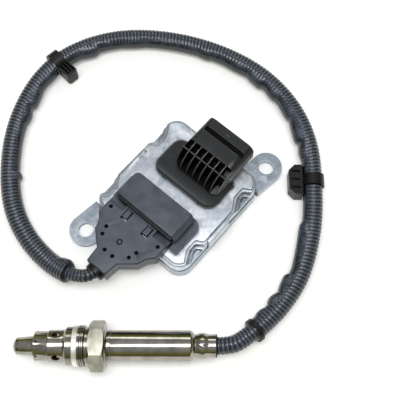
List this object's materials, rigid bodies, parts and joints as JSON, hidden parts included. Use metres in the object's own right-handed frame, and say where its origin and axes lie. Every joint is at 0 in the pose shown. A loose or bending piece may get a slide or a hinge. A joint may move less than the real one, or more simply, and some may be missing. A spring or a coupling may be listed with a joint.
{
  "type": "nitrogen oxide sensor",
  "caption": "Nitrogen oxide sensor: a cast control unit with a right-angle header, joined by a sleeved cable to a steel probe with a hexagon and a drilled protection tube.",
  "frame": {"origin": "midway between the two ear holes, on the flat rear face of the control unit", "axes": "+X towards the mouth of the vehicle header, +Y across the control unit, +Z out of its rear face to the headers"},
  "size_m": [0.2072, 0.1974, 0.0326],
  "materials": {
    "cast_case": "as cast, lightly blasted",
    "seal": "matt",
    "screw_steel": "zinc plated",
    "board": "solder resist",
    "components": "moulded",
    "header_plastic": "moulded, satin",
    "contact_metal": "tin plated",
    "slate_plastic": "moulded, satin",
    "conduit": "corrugated, satin",
    "sleeve": "ribbed sleeve, satin",
    "tube_steel": "drawn, bright",
    "body_steel": "turned",
    "ring_steel": "bright",
    "ceramic": "fired ceramic",
    "talc": "pressed powder",
    "wire": "extruded"
  },
  "bodies": {
    "root": {"base_plate": "cast_case", "case_cover": "cast_case", "case_seal": "seal", "case_screws": "screw_steel", "circuit_board": "board", "board_components": "components", "vehicle_header": "header_plastic", "vehicle_terminals": "contact_metal", "vehicle_header_seal": "seal", "sensor_header": "slate_plastic", "sensor_header_pins": "contact_metal", "sensor_header_seal": "seal", "sensor_plug": "header_plastic", "plug_terminals": "contact_metal", "backshell_top": "slate_plastic", "backshell_bottom": "slate_plastic", "exit_collar": "header_plastic", "conduit_unit_end": "conduit", "cable_sleeve": "sleeve", "conduit_probe_end": "conduit", "sleeve_clamp": "header_plastic", "clip_upper": "slate_plastic", "clip_side": "slate_plastic", "protection_tube_outer": "tube_steel", "protection_tube_inner": "tube_steel", "sensor_element": "ceramic", "front_insulator": "ceramic", "talc_packing": "talc", "rear_insulator": "ceramic", "threaded_body": "body_steel", "sealing_ring": "ring_steel", "rear_shell": "tube_steel", "contact_holder": "ceramic", "contact_springs": "contact_metal", "grommet": "seal", "lead_wires": "wire"}
  },
  "joints": []
}
